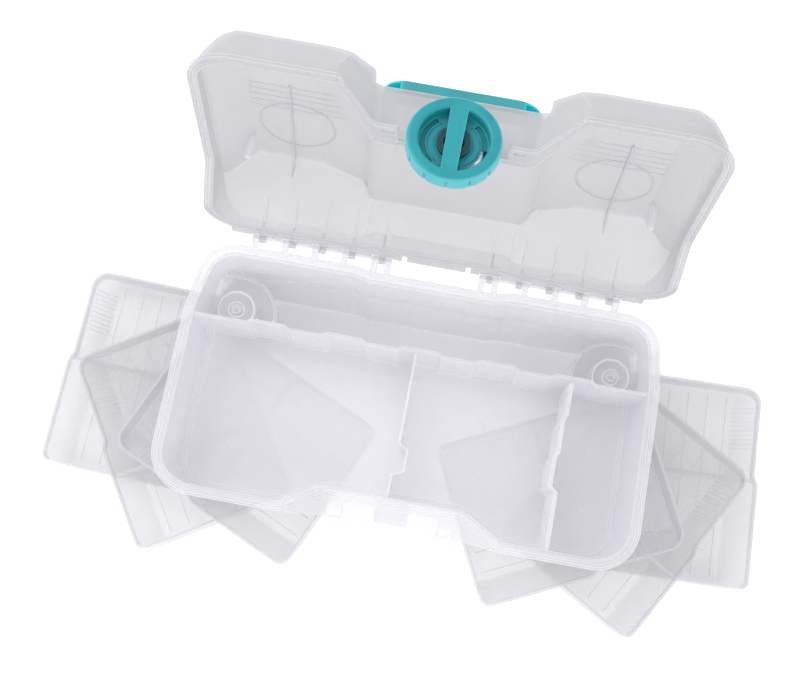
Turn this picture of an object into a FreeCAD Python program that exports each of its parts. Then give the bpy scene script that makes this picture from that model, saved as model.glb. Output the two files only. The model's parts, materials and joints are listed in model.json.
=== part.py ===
"""Sewing box with a lift-up lid and six trays that swing out from under the bin.

Units are millimetres.  +X is to the user's right, -Y is the front, +Z is up.
The origin is the centre of the underside of the deep rear well, on which the box stands.
The lid and the trays are modelled closed and then turned to their resting angles.
"""
import FreeCAD, Part
import math
import os

V = FreeCAD.Vector
X_AXIS = V(1, 0, 0)
Z_AXIS = V(0, 0, 1)

# ---- overall sizes ---------------------------------------------------------
box_width = 380.0          # across the flange
box_depth = 206.0          # front to back across the flange
rim_height = 164.0         # main parting line above the ground
back_drop = 23.0           # how much lower the parting line is at the hinge
front_dip = 29.5           # how much lower it is behind the knob
well_depth = 52.0          # deep rear well, front to back, outside
lid_rise = 33.0            # top of the two lid humps above the main parting line

# ---- walls and fits --------------------------------------------------------
wall = 2.2
flange_width = 6.0
flange_thickness = 3.0
flange_root = 0.8          # overlap of a flange with its wall
side_draft = 3.0           # the bin wall leans in this much from rim to floor
well_setback = flange_width + side_draft
floor_round = 5.0          # chamfered foot of the bin wall
parting_gap = 0.4          # between the two flanges when the lid is shut
running_fit = 0.06         # radial clearance of every turning joint
seat_gap = 0.3             # clearance of pieces that drop into place

# ---- plan outline ----------------------------------------------------------
back_taper = 2.0           # each side is this much narrower at the back
back_corner_radius = 30.0
front_corner_radius = 34.0
recess_depth = 18.0        # the front wall steps back behind the knob
recess_half = 54.0         # half width of the recess at its bottom
recess_ramp = 30.0         # run of each ramp beside the recess
recess_radius = 10.0
back_step = 2.7            # the back edge steps in between the two hinges
back_step_from = 64.0      # half width where the step starts
back_step_run = 13.0
groove_from = 2.2          # groove between the two beads of each flange
groove_width = 1.7
groove_depth = 0.9

# ---- parting line, seen from the side --------------------------------------
rise_start = 28.0          # from the back edge to where the rim starts to rise
rise_run = 34.0
rise_radius = 15.0

# ---- bin and well ----------------------------------------------------------
bin_floor = 96.0           # underside of the bin floor
well_floor = 2.5
fence_top_gap = 4.0        # the fence between bin and well stops below the rim
fence_forward = 3.0        # the fence stands this far in front of the well wall
fence_pitch = 61.0         # the fence is stepped in plan, like castle teeth
fence_tooth = 27.0
fence_ramp = 4.0
fence_jog = 2.5

# ---- trays -----------------------------------------------------------------
pivot_inset_x = 34.5       # pivot axis from the side edge
pivot_inset_y = 48.5       # pivot axis from the back edge
tray_height = 29.5
tray_pitch = 31.0
tray_ground_gap = 0.5
tray_back = 13.5           # back wall of a tray in front of the pivot axis
tray_side = 25.0           # outer wall of a tray outside the pivot axis
tray_centre_gap = 5.5      # from the inner end to the middle of the box
tray_front_gap = 7.5       # front edge of a closed tray behind the flange's front edge
tray_wall = 1.8
tray_floor = 1.6
tray_slope_run = 20.0      # the front wall of a tray slopes up over this run
tray_lip = 8.0             # height of the upright lip above the slope
tray_pull = 3.5            # the pull stands this far ahead of the rest of the front
tray_pull_length = 95.0
tray_corner = 8.0
tray_outer_corner = 14.0
bay_radius = 29.5          # hollow in the well that clears the turning trays
bay_gap = 1.5
cheek_plate = 2.0          # thickness of the tray's two bearing cheeks
boss_radius = 13.0
boss_gap = 0.3             # left between stacked bosses
ear_height = 5.2           # top of the lower bearing ear
ear_thickness = 2.8
ear_radius = 10.0
post_radius = 6.0
post_foot_radius = 9.0
post_end_gap = 0.1
post_ground_gap = 0.4
screw_fit = 0.02
tower_radius = 16.0
tower_height = 18.0
tower_cap = 2.4
screw_radius = 1.75
screw_head_radius = 3.8
screw_head_height = 2.2
screw_length = 16.0
screw_tip_gap = 1.5
screw_slot = 1.0           # width and depth of the slot in the head
tray_rest_left = (92.0, 58.0, 24.0)     # opening angles, lowest tray first
tray_rest_right = (92.0, 60.0, 26.0)
partition = 1.5            # thickness of the lift-out partitions
side_partition = 3.0       # the bin's outer partition is thicker
partition_drop = 2.0       # a tray partition stops this far below the tray's edge
partition_floor_gap = 0.1
tray_partition_at = (0.46, 0.62, 0.52)  # place along the tray, lowest first

# ---- bin partitions --------------------------------------------------------
centre_partition_x = -3.0
side_partition_x = 121.0
centre_partition_steps = ((69.0, 7.0), (89.0, -2.0))   # (distance from the fence, sideways offset)
side_partition_steps = ((25.0, -2.0), (55.0, -4.0), (82.0, 1.0))
partition_ramp = 4.0
bin_partition_drop = 6.0   # their top edge is this far below the main rim
bin_partition_step = 14.0  # the front end steps down by this much

# ---- hinge -----------------------------------------------------------------
hinge_back = 9.0           # hinge axis behind the back edge
knuckle_first = 43.9       # first lid knuckle from the middle of the box
knuckle_pitch = 24.5
knuckle_count = 5
knuckle_width = 5.0
knuckle_radius = 4.2
knuckle_gap = 0.6
knuckle_root = 6.0         # how far a body knuckle's arm reaches in under the flange
knuckle_step = 1.0         # its top is this far below the hinge axis
hinge_pin_radius = 1.5
lid_open_angle = 101.0
strip_end = 168.0          # the lid's hinge strip reaches this far out
strip_width = 7.0
strip_window = 130.0       # first long window from the middle of the box
strip_window_length = 16.0
strip_gap = 24.0           # open gap beside the middle tab
strip_gap_length = 4.0
strip_notch = 0.6          # clearance of the strip around each body knuckle

# ---- lid -------------------------------------------------------------------
hump_outer_foot = 178.0
hump_outer_top = 155.0
hump_inner_top = 103.0
hump_inner_foot = 61.0
valley_rise = 14.5         # valley floor above the main parting line
valley_wall = 9.5          # upright side of the valley, where the handle turns
lid_setback = 5.0          # lid wall behind the flange edge
lid_front_lean = 6.0
lid_back_lean = 28.0
lid_back_height = 46.0     # the back wall starts to lean this far below the top

# ---- knob ------------------------------------------------------------------
knob_radius = 31.6
knob_ring = 8.5
knob_above_dip = -3.8      # knob axis above the dipped parting line
hub_radius = 9.6
hub_bore = 8.2
knob_disc = 3.0
knob_disc_radius = knob_radius - knob_ring + 1.0
knob_depth = 11.5
bar_width = 10.5
bar_depth = 5.0
bar_rim = 0.6              # the bar sits this far below the front of the ring
bar_flare = 0.8
grip_count = 13
grip_groove = 2.2
grip_start = 3.0
grip_groove_depth = 0.9
hook_wall = 3.5
hook_reach = 5.5           # tip of the hook behind the knob's disc
hook_throat = 3.0
hook_inner = 20.0
hook_outer = 26.0
hook_half_angle = 18.0
retainer_thickness = 2.0
retainer_gap = 0.2
retainer_radius = 11.4
retainer_lip = 1.0         # closed front of the retainer and wall of its cup
retainer_cup = 6.5
seat_half = 16.0
tab_thickness = 3.0
tab_drop = 12.0
lug_half = 14.0
lug_reach = 10.0
lug_top = 14.0
lug_gap = 2.0              # between the tip of the lug and the knob's disc
hook_gap = 0.4             # between the lug and the passing hook
slot_inner = 18.5
slot_outer = 22.5
slot_half_angle = 52.0

# ---- padlock eyes ----------------------------------------------------------
eye_inner = 37.0
eye_reach = 13.5
eye_length = 9.5
eye_width = 5.0
eye_border = 2.0

# ---- handle ----------------------------------------------------------------
handle_half = 56.0
handle_thickness = 8.0
handle_arm_width = 9.0
handle_grip_width = 19.0
handle_arm = 44.0          # pivot axis to the middle of the grip
handle_pivot_back = 79.0   # pivot axis behind the front edge
handle_floor_gap = 0.8
handle_corner = 18.0
handle_skin = 1.5          # walls of the hollow in each front corner of the handle
handle_pocket = 12.5
trunnion_radius = 2.6

# ---- places worked out from the sizes above --------------------------------
y_back = well_depth / 2 + well_setback
y_front = y_back - box_depth
z_back = rim_height - back_drop
z_dip = rim_height - front_dip
floor_top = bin_floor + wall
pivot_x = box_width / 2 - pivot_inset_x
pivot_y = y_back - pivot_inset_y
hinge_y = y_back + hinge_back
hinge_z = z_back
recess_y = y_front + recess_depth
knob_z = z_dip + knob_above_dip
seat_y = recess_y - seat_gap - parting_gap - tab_thickness
handle_y = y_front + handle_pivot_back
handle_z = rim_height + valley_rise + handle_floor_gap + handle_thickness / 2
fence_y = y_back - well_setback - well_depth - fence_forward
FAR = 400.0


# ---- drawing helpers -------------------------------------------------------
def on_floor(z):
    return lambda a, b: V(a, b, z)


def facing_side(x):
    return lambda a, b: V(x, a, b)


def facing_front(y):
    return lambda a, b: V(a, y, b)


def inset_corners(corners, inset):
    """Move every side of a counter-clockwise outline inwards; radii follow the turn."""
    count = len(corners)
    moved = []
    for i in range(count):
        ax, ay, _ = corners[i - 1]
        bx, by, radius = corners[i]
        cx, cy, _ = corners[(i + 1) % count]
        d1 = V(bx - ax, by - ay, 0).normalize()
        d2 = V(cx - bx, cy - by, 0).normalize()
        n1 = V(-d1.y, d1.x, 0)
        n2 = V(-d2.y, d2.x, 0)
        turn = d1.x * d2.y - d1.y * d2.x
        share = inset / (1 + n1.dot(n2))
        new_radius = max(radius - math.copysign(inset, turn), 0.4) if radius else 0.0
        moved.append((bx + share * (n1.x + n2.x), by + share * (n1.y + n2.y), new_radius))
    return moved


def outline(corners, place):
    """A closed wire of straight runs and tangent arcs; each corner is (a, b, radius)."""
    count = len(corners)
    edges = []
    starts = []
    ends = []
    for i in range(count):
        ax, ay, _ = corners[i - 1]
        bx, by, radius = corners[i]
        cx, cy, _ = corners[(i + 1) % count]
        b = V(bx, by, 0)
        d1 = (V(ax, ay, 0) - b).normalize()
        d2 = (V(cx, cy, 0) - b).normalize()
        half = math.acos(max(-1.0, min(1.0, d1.dot(d2)))) / 2
        if radius <= 0 or half > math.radians(89.9):
            starts.append((b, None))
            ends.append(b)
            continue
        cut = radius / math.tan(half)
        centre = b + (d1 + d2).normalize() * (radius / math.sin(half))
        middle = centre + (b - centre).normalize() * radius
        starts.append((b + d1 * cut, middle))
        ends.append(b + d2 * cut)
    for i in range(count):
        start, middle = starts[i]
        if middle is not None:
            three = [place(point.x, point.y) for point in (start, middle, ends[i])]
            edges.append(Part.Arc(*three).toShape())
        nxt = starts[(i + 1) % count][0]
        if (nxt - ends[i]).Length > 1e-6:
            edges.append(Part.makeLine(place(ends[i].x, ends[i].y), place(nxt.x, nxt.y)))
    return Part.Wire(edges)


def prism(corners, z0, z1):
    return Part.Face(outline(corners, on_floor(z0))).extrude(V(0, 0, z1 - z0))


def side_prism(corners, x0, x1):
    return Part.Face(outline(corners, facing_side(x0))).extrude(V(x1 - x0, 0, 0))


def front_prism(corners, y0, y1):
    return Part.Face(outline(corners, facing_front(y0))).extrude(V(0, y1 - y0, 0))


def stack(corners, levels):
    """A solid through one outline at several (inset, z) levels."""
    wires = [outline(inset_corners(corners, inset), on_floor(z)) for inset, z in levels]
    return Part.makeLoft(wires, True, True)


def box(x0, x1, y0, y1, z0, z1):
    return Part.makeBox(x1 - x0, y1 - y0, z1 - z0, V(x0, y0, z0))


def upright(x, y, radius, z0, z1):
    return Part.makeCylinder(radius, z1 - z0, V(x, y, z0), Z_AXIS)


def along_x(x0, x1, y, z, radius):
    return Part.makeCylinder(radius, x1 - x0, V(x0, y, z), X_AXIS)


def forward(y0, y1, z, radius):
    """A cylinder about the knob axis from y0 forward to y1, where y1 < y0."""
    return Part.makeCylinder(radius, y0 - y1, V(0, y0, z), V(0, -1, 0))


def mirrored(shape):
    return shape.mirror(V(0, 0, 0), X_AXIS)


def both_sides(shape):
    return [shape, mirrored(shape)]


def joined(first, others):
    return first.multiFuse(others).removeSplitter()


# ---- the plan outline and the parting line ---------------------------------
def plan_corners():
    half_back = box_width / 2 - back_taper
    half_front = box_width / 2
    ramp = recess_half + recess_ramp
    right = [
        (recess_half, recess_y, recess_radius),
        (ramp, y_front, recess_radius),
        (half_front, y_front, front_corner_radius),
        (half_back, y_back, back_corner_radius),
        (back_step_from, y_back, back_step),
        (back_step_from - back_step_run, y_back - back_step, back_step),
    ]
    left = [(-a, b, r) for a, b, r in reversed(right)]
    return right + left


def below_rim(shift):
    """Everything below the parting line, raised by shift: low at the back and behind the knob."""
    s0 = y_back - rise_start
    s1 = s0 - rise_run
    side = [
        (FAR, -FAR, 0),
        (FAR, z_back + shift, 0),
        (s0, z_back + shift, rise_radius),
        (s1, rim_height + shift, rise_radius),
        (-FAR, rim_height + shift, 0),
        (-FAR, -FAR, 0),
    ]
    dip = [
        (-recess_half, z_dip + shift, recess_radius),
        (recess_half, z_dip + shift, recess_radius),
        (recess_half + recess_ramp, rim_height + shift, recess_radius),
        (recess_half + recess_ramp, FAR, 0),
        (-recess_half - recess_ramp, FAR, 0),
        (-recess_half - recess_ramp, rim_height + shift, recess_radius),
    ]
    dip_back = recess_y + recess_depth
    return side_prism(side, -FAR, FAR).cut(front_prism(dip, -FAR, dip_back))


def rim_slab(low, high):
    return below_rim(high).cut(below_rim(low))


def plan_ring(outer, inner):
    """Everything between two insets of the plan outline."""
    plan = plan_corners()
    return stack(plan, [(outer, 0), (outer, FAR)]).cut(stack(plan, [(inner, 0), (inner, FAR)]))


def bead_groove(low, high):
    """Groove that leaves a bead along each edge of a flange."""
    return plan_ring(groove_from, groove_from + groove_width).common(rim_slab(low, high))


def eye_plates():
    """Plan of the two eye plates that flank the knob, as one-piece prisms."""
    reach_y = recess_y - eye_reach
    plate = [
        (eye_inner, reach_y, 1.5),
        (recess_half + eye_border, reach_y, 8.0),
        (recess_half + recess_ramp, y_front, 4.0),
        (recess_half + recess_ramp, y_front + flange_width, 0),
        (recess_half, recess_y + flange_width / 2, 0),
        (eye_inner, recess_y + flange_width / 2, 0),
    ]
    window = [
        (eye_inner + eye_border, reach_y + eye_border, 1.0),
        (eye_inner + eye_border + eye_length, reach_y + eye_border, 1.0),
        (eye_inner + eye_border + eye_length, reach_y + eye_border + eye_width, 1.0),
        (eye_inner + eye_border, reach_y + eye_border + eye_width, 1.0),
    ]
    shape = prism(plate, 0, FAR).cut(prism(window, 0, FAR))
    return both_sides(shape)


# ---- case body -------------------------------------------------------------
def well_prism(inset, z0, z1):
    """The deep rear well: the back of the plan outline less a round-ended bay at each pivot."""
    front = y_back - well_setback - well_depth + inset
    shape = prism(inset_corners(plan_corners(), well_setback + inset), z0, z1)
    shape = shape.cut(box(-FAR, FAR, -FAR, front, z0, z1))
    bay = bay_radius + inset
    corner = upright(-pivot_x, pivot_y, bay, z0, z1)
    side = box(-FAR, -pivot_x, -FAR, pivot_y + bay, z0, z1)
    for tool in both_sides(corner) + both_sides(side):
        shape = shape.cut(tool)
    return shape


def fence():
    """The wall between bin and well, stepped in plan like castle teeth for stiffness."""
    count = int((box_width / 2 - 2 * tower_radius) / fence_pitch)
    half = fence_tooth / 2
    line = [(-box_width, -fence_jog)]
    for k in range(-count, count + 1):
        middle = k * fence_pitch
        line.append((middle - half - fence_ramp, -fence_jog))
        line.append((middle - half, 0))
        line.append((middle + half, 0))
        line.append((middle + half + fence_ramp, -fence_jog))
    line.append((box_width, -fence_jog))
    front = [(a, fence_y + b, 0) for a, b in line]
    back = [(a, fence_y + b + wall, 0) for a, b in reversed(line)]
    plate = prism(front + back, bin_floor, rim_height - fence_top_gap)
    return plate.common(stack(plan_corners(), bin_levels(wall / 2)))


def bin_levels(extra):
    return [
        (flange_width + extra, rim_height + 1),
        (flange_width + side_draft + extra, bin_floor + extra + floor_round),
        (flange_width + side_draft + floor_round + extra, bin_floor + extra),
    ]


def tower():
    """Hollow boss that holds the head of a pivot post."""
    x = -pivot_x
    top = floor_top + tower_height
    shape = upright(x, pivot_y, tower_radius, bin_floor, top)
    shape = shape.cut(upright(x, pivot_y, post_radius + running_fit, bin_floor, top - tower_cap))
    return shape.cut(upright(x, pivot_y, screw_radius + seat_gap, bin_floor, top))


def lower_ear():
    """Bearing ear under a tray stack, reaching forward from the bay wall."""
    z0 = ear_height - ear_thickness
    x = -pivot_x
    arm = box(x - ear_radius, x + ear_radius, pivot_y, pivot_y + bay_radius + wall, z0, ear_height)
    shape = upright(x, pivot_y, ear_radius, z0, ear_height).fuse(arm)
    return shape.cut(upright(x, pivot_y, post_radius + running_fit, z0, ear_height))


def body_knuckle_places():
    """One knuckle outside each lid knuckle and one before the first."""
    step = knuckle_width + knuckle_gap
    return [knuckle_first - step] + [knuckle_first + step + k * knuckle_pitch for k in range(knuckle_count)]


def body_knuckles():
    parts = []
    for place in body_knuckle_places():
        x0 = place - knuckle_width / 2
        x1 = x0 + knuckle_width
        barrel = along_x(x0, x1, hinge_y, hinge_z, knuckle_radius)
        arm = box(x0, x1, y_back - knuckle_root, hinge_y, hinge_z - knuckle_radius, hinge_z - knuckle_step)
        bore = along_x(x0, x1, hinge_y, hinge_z, hinge_pin_radius + running_fit)
        parts += both_sides(barrel.fuse(arm).cut(bore))
    return parts


def latch_lug():
    """Lug under the knob; its underside is an arc about the knob axis for the hook to pass."""
    wall_y = recess_y + flange_width + side_draft
    block = box(-lug_half, lug_half, recess_y - lug_reach, wall_y, knob_z - hook_inner, knob_z - lug_top)
    return block.common(forward(wall_y, recess_y - lug_reach, knob_z, hook_inner - hook_gap))


def case_body():
    plan = plan_corners()
    shell = stack(plan, bin_levels(0)).cut(stack(plan, bin_levels(wall)))
    well = well_prism(0, 0, bin_floor + floor_round)
    hollow = well_prism(wall, well_floor, rim_height + 1)
    shell = joined(shell, [well, fence(), tower(), mirrored(tower())])
    shell = shell.cut(hollow).common(below_rim(0))
    ring = plan_ring(0, flange_width + flange_root)
    slab = rim_slab(-flange_thickness, 0)
    pieces = [ring.common(slab)] + [plate.common(slab) for plate in eye_plates()]
    pieces += both_sides(lower_ear()) + body_knuckles() + [latch_lug()]
    shape = joined(shell, pieces).cut(bead_groove(-groove_depth, 1.0))
    for bore in both_sides(upright(-pivot_x, pivot_y, post_radius + running_fit, 0, floor_top + 1.0)):
        shape = shape.cut(bore)
    return shape


# ---- lid -------------------------------------------------------------------
def lid_block(inset):
    """Outer form of the lid, or its hollow when inset by the wall: two humps and a valley."""
    top = rim_height + lid_rise
    valley = rim_height + valley_rise
    right = [
        (hump_inner_foot, valley, 0),
        (hump_inner_foot, valley + valley_wall, 2.5),
        (hump_inner_top, top, 8.0),
        (hump_outer_top, top, 8.0),
        (hump_outer_foot, valley, 8.0),
        (FAR, valley, 0),
        (FAR, -FAR, 0),
    ]
    left = [(-a, b, r) for a, b, r in reversed(right)]
    front_view = list(reversed(left + right))
    y0 = y_front + lid_setback
    y1 = y_back - lid_setback
    side_view = [
        (y1, -FAR, 0),
        (y1, top - lid_back_height, 8.0),
        (y1 - lid_back_lean, top, 8.0),
        (y0 + lid_front_lean, top, 8.0),
        (y0, valley, 2.5),
        (y0, -FAR, 0),
    ]
    shape = prism(inset_corners(plan_corners(), lid_setback + inset), -1, FAR)
    shape = shape.common(front_prism(inset_corners(front_view, inset), FAR, -FAR))
    return shape.common(side_prism(inset_corners(side_view, inset), -FAR, FAR))


def lid_strip():
    """Flat strip behind the lid flange that carries the lid knuckles and clears the body's."""
    z0 = hinge_z + parting_gap
    z1 = z0 + flange_thickness
    strip = box(-strip_end, strip_end, y_back - knuckle_root / 2, y_back + strip_width, z0, z1)
    windows = [box(strip_window, strip_window + strip_window_length, y_back + 0.8, y_back + 3.2, z0, z1)]
    windows.append(box(strip_gap, strip_gap + strip_gap_length, y_back - back_step + 0.5, FAR, z0, z1))
    half = knuckle_width / 2 + strip_notch
    reach = knuckle_radius + strip_notch
    for place in body_knuckle_places():
        windows.append(box(place - half, place + half, hinge_y - reach, FAR, z0, z1))
    for window in windows:
        for shape in both_sides(window):
            strip = strip.cut(shape)
    return strip


def lid_knuckles():
    parts = []
    for k in range(knuckle_count):
        x0 = knuckle_first + k * knuckle_pitch - knuckle_width / 2
        x1 = x0 + knuckle_width
        barrel = along_x(x0, x1, hinge_y, hinge_z, knuckle_radius)
        arm = box(x0, x1, y_back, hinge_y, hinge_z + 2 * parting_gap, hinge_z + knuckle_radius)
        bore = along_x(x0, x1, hinge_y, hinge_z, hinge_pin_radius + running_fit)
        parts += both_sides(barrel.fuse(arm).cut(bore))
    return parts


def knob_seat():
    """Raised seat, hanging tab and hollow hub that carry the knob."""
    z0 = z_dip + parting_gap
    seat = box(-seat_half, seat_half, seat_y, recess_y + lid_setback + 1, z0, knob_z + seat_half + 2)
    tab = box(-seat_half, seat_half, seat_y, seat_y + tab_thickness, knob_z - tab_drop, z0 + 1)
    hub = forward(seat_y + 1, hub_front(), knob_z, hub_radius)
    bore = forward(seat_y + 1, hub_front(), knob_z, hub_bore)
    return [seat, tab, hub.cut(bore)]


def hub_front():
    return disc_back() - knob_disc - retainer_thickness


def disc_back():
    """Back face of the knob's disc, just clear of the tip of the latch lug."""
    return recess_y - lug_reach - lug_gap


def lid_closed():
    shell = lid_block(0).cut(lid_block(wall))
    shell = shell.cut(below_rim(parting_gap))
    ring = plan_ring(0, lid_setback + flange_root)
    slab = rim_slab(parting_gap, parting_gap + flange_thickness)
    pieces = [ring.common(slab)] + [plate.common(slab) for plate in eye_plates()]
    pieces += [lid_strip()] + lid_knuckles() + knob_seat()
    shape = joined(shell, pieces).cut(bead_groove(0, parting_gap + groove_depth))
    bore_x = hump_inner_foot - wall
    bores = along_x(bore_x, hump_inner_foot + 3 * wall, handle_y, handle_z, trunnion_radius + running_fit)
    for bore in both_sides(bores):
        shape = shape.cut(bore)
    return shape


def with_lid(shape):
    """Turn a piece that rides on the lid from shut to its resting angle."""
    turned = shape.copy()
    turned.rotate(V(0, hinge_y, hinge_z), X_AXIS, -lid_open_angle)
    return turned


# ---- knob and handle -------------------------------------------------------
def arc_block(inner, outer, half_angle, middle, y0, y1):
    """A curved block about the knob axis, between two radii and two angles from +X."""
    ring = forward(y0, y1, knob_z, outer).cut(forward(y0, y1, knob_z, inner))
    a0 = math.radians(middle - half_angle)
    a1 = math.radians(middle + half_angle)
    reach = outer * 3
    wedge = [(0, knob_z, 0)]
    wedge += [(reach * math.cos(a), knob_z + reach * math.sin(a), 0) for a in (a0, (a0 + a1) / 2, a1)]
    return ring.common(front_prism(wedge, y0, y1))


def knob_rim():
    """The knob's grip ring, a rounded section turned about the knob axis."""
    back = disc_back()
    front = back - knob_depth
    section = outline([
        (knob_radius - knob_ring, back, 0),
        (knob_radius, back, 0.8),
        (knob_radius, front, 2.8),
        (knob_radius - knob_ring, front, 2.4),
    ], lambda a, b: V(a, b, knob_z))
    return Part.Face(section).revolve(V(0, 0, knob_z), V(0, 1, 0), 360)


def knob():
    back = disc_back()
    front = back - knob_depth
    disc = forward(back, back - knob_disc, knob_z, knob_disc_radius)
    bar = front_prism([
        (-bar_width / 2, knob_z - knob_disc_radius, 0),
        (bar_width / 2, knob_z - knob_disc_radius, 0),
        (bar_width / 2 + bar_flare, knob_z + knob_disc_radius, 0),
        (-bar_width / 2 - bar_flare, knob_z + knob_disc_radius, 0),
    ], front + bar_rim, front + bar_depth)
    shape = joined(knob_rim(), [disc, bar])
    shape = shape.cut(forward(back, back - knob_disc, knob_z, hub_radius + running_fit))
    for middle in (0, 180):
        slot = arc_block(slot_inner, slot_outer, slot_half_angle, middle, back, back - knob_disc)
        shape = shape.cut(slot)
        tip = back + hook_reach
        root = hook_outer - hook_wall
        wall_part = arc_block(root, hook_outer, hook_half_angle, middle, tip, back - 1)
        claw = arc_block(hook_inner, hook_outer, hook_half_angle, middle, tip, back + hook_throat)
        shape = shape.fuse(wall_part).fuse(claw)
    for k in range(grip_count):
        root = knob_radius - grip_groove_depth
        groove = box(-grip_groove / 2, grip_groove / 2, front + grip_start, back, root, FAR)
        groove.translate(V(0, 0, knob_z))
        groove.rotate(V(0, 0, knob_z), V(0, 1, 0), (k + 0.5) * 360 / grip_count)
        shape = shape.cut(groove)
    return shape.removeSplitter()


def knob_retainer():
    """Snap cap on the tip of the hub: a ring in front of the knob's disc and a cup in the hub."""
    y0 = disc_back() - knob_disc - retainer_gap
    tip = hub_front() - retainer_gap / 2
    y1 = tip - retainer_lip
    cup_radius = hub_bore - retainer_gap
    cap = forward(y0, y1, knob_z, retainer_radius).cut(forward(y0, tip, knob_z, hub_radius + running_fit))
    cup = forward(tip + retainer_cup, tip, knob_z, cup_radius)
    hollow = forward(tip + retainer_cup - retainer_lip, y1, knob_z, cup_radius - retainer_lip)
    return cap.fuse(cup).cut(hollow).removeSplitter()


def handle():
    """Bail handle lying forward in the valley: grip, two arms and their trunnions."""
    z0 = handle_z - handle_thickness / 2
    half = handle_half
    grip_front = handle_y - handle_arm - handle_grip_width / 2
    arm_back = handle_y + handle_thickness / 2
    outer = [
        (-half, grip_front, handle_corner),
        (half, grip_front, handle_corner),
        (half, arm_back, 3.0),
        (-half, arm_back, 3.0),
    ]
    inner = [
        (-half + handle_arm_width, grip_front + handle_grip_width, 6.0),
        (half - handle_arm_width, grip_front + handle_grip_width, 6.0),
        (half - handle_arm_width, arm_back + 5, 0),
        (-half + handle_arm_width, arm_back + 5, 0),
    ]
    shape = prism(outer, z0, z0 + handle_thickness)
    shape = shape.cut(prism(inner, z0, z0 + handle_thickness))
    rounding = along_x(-half, half, handle_y, handle_z, handle_thickness / 2)
    keep = box(-half, half, grip_front, handle_y, z0, z0 + handle_thickness).fuse(rounding)
    shape = shape.common(keep)
    pocket = box(
        -half + handle_skin, -half + handle_pocket, grip_front - 1, grip_front + handle_grip_width / 2,
        z0 + handle_skin, z0 + handle_thickness - handle_skin)
    for hollow in both_sides(pocket):
        shape = shape.cut(hollow)
    pin = along_x(half - 2, hump_inner_foot + wall + 1.5, handle_y, handle_z, trunnion_radius)
    return joined(shape, both_sides(pin))


def hinge_pin(side):
    x0 = knuckle_first - 1.5 * knuckle_width - knuckle_gap
    x1 = knuckle_first + (knuckle_count - 1) * knuckle_pitch + 1.5 * knuckle_width + knuckle_gap
    pin = along_x(x0, x1, hinge_y, hinge_z, hinge_pin_radius)
    return pin if side > 0 else mirrored(pin)


# ---- trays -----------------------------------------------------------------
def tray_corners():
    """Plan of a left-hand tray in its closed place, counter-clockwise from its front outer corner."""
    x0 = -pivot_x - tray_side
    x1 = -tray_centre_gap
    y0 = y_front + tray_front_gap
    y1 = pivot_y - tray_back
    step = x1 - tray_pull_length
    return [
        (x0, y0 + tray_pull, tray_outer_corner),
        (step - 4, y0 + tray_pull, 3.0),
        (step + 4, y0, 3.0),
        (x1, y0, tray_corner),
        (x1, y1, tray_corner),
        (x0, y1, 4.0),
    ]


def tray_slope(inset, floor_z, top_z):
    """Everything behind the sloping front wall of a tray."""
    y0 = y_front + tray_front_gap + inset
    return side_prism([
        (y0, top_z - tray_lip, 3.0),
        (y0 + tray_slope_run, floor_z, 4.0),
        (FAR, floor_z, 0),
        (FAR, top_z + 1, 0),
        (y0, top_z + 1, 0),
    ], -FAR, FAR)


def tray_level(level):
    return tray_ground_gap + level * tray_pitch


def tray_partition_x(level):
    length = pivot_x + tray_side - tray_centre_gap
    return -pivot_x - tray_side + length * tray_partition_at[level]


def tray_closed(level):
    z0 = tray_level(level)
    z1 = z0 + tray_height
    corners = tray_corners()
    outer = prism(corners, z0, z1).common(tray_slope(0, z0, z1))
    hollow_z = z0 + tray_floor
    hollow = prism(inset_corners(corners, tray_wall), hollow_z, z1)
    hollow = hollow.common(tray_slope(tray_wall, hollow_z, z1))
    shape = outer.cut(hollow)
    boss_z0 = max(z0, ear_height + boss_gap)
    boss_z1 = z0 + tray_pitch - boss_gap
    x = -pivot_x
    sweep = bay_radius - bay_gap
    back_y = pivot_y - tray_back
    cheek = box(x - tray_side, x + tray_side, back_y, pivot_y + sweep, boss_z0, z1)
    cheek = cheek.common(upright(x, pivot_y, sweep, boss_z0, z1))
    gap = cheek.copy().common(box(x - FAR, x + FAR, back_y, FAR, boss_z0 + cheek_plate, z1 - cheek_plate))
    gap = gap.common(upright(x, pivot_y, sweep - tray_wall, boss_z0, z1))
    cheek = cheek.cut(gap)
    boss = upright(x, pivot_y, boss_radius, boss_z0, boss_z1)
    boss = boss.cut(box(x - FAR, x + FAR, -FAR, back_y - tray_wall, boss_z0, boss_z1))
    shape = joined(shape, [cheek, boss])
    shape = shape.cut(upright(x, pivot_y, post_radius + running_fit, boss_z0, boss_z1))
    if level > 0:
        return shape
    return shape.cut(upright(x, pivot_y, ear_radius + 1, z0, boss_z0))


def tray_partition_closed(level):
    """Upright plate across a tray, clear of the walls by the seat gap."""
    z0 = tray_level(level) + tray_floor + partition_floor_gap
    top = tray_level(level) + tray_height
    z1 = top - partition_drop
    x0 = tray_partition_x(level) - partition / 2
    inset = tray_wall + seat_gap
    shape = prism(inset_corners(tray_corners(), inset), z0, z1).common(tray_slope(inset, z0, top))
    return shape.common(box(x0, x0 + partition, -FAR, FAR, z0, z1))


def swung(shape, level, side):
    """Put a left-hand tray piece on its side of the box and open it to its resting angle."""
    turned = shape.copy()
    angles = tray_rest_left if side < 0 else tray_rest_right
    turned.rotate(V(-pivot_x, pivot_y, 0), Z_AXIS, -angles[level])
    return turned if side < 0 else mirrored(turned)


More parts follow.
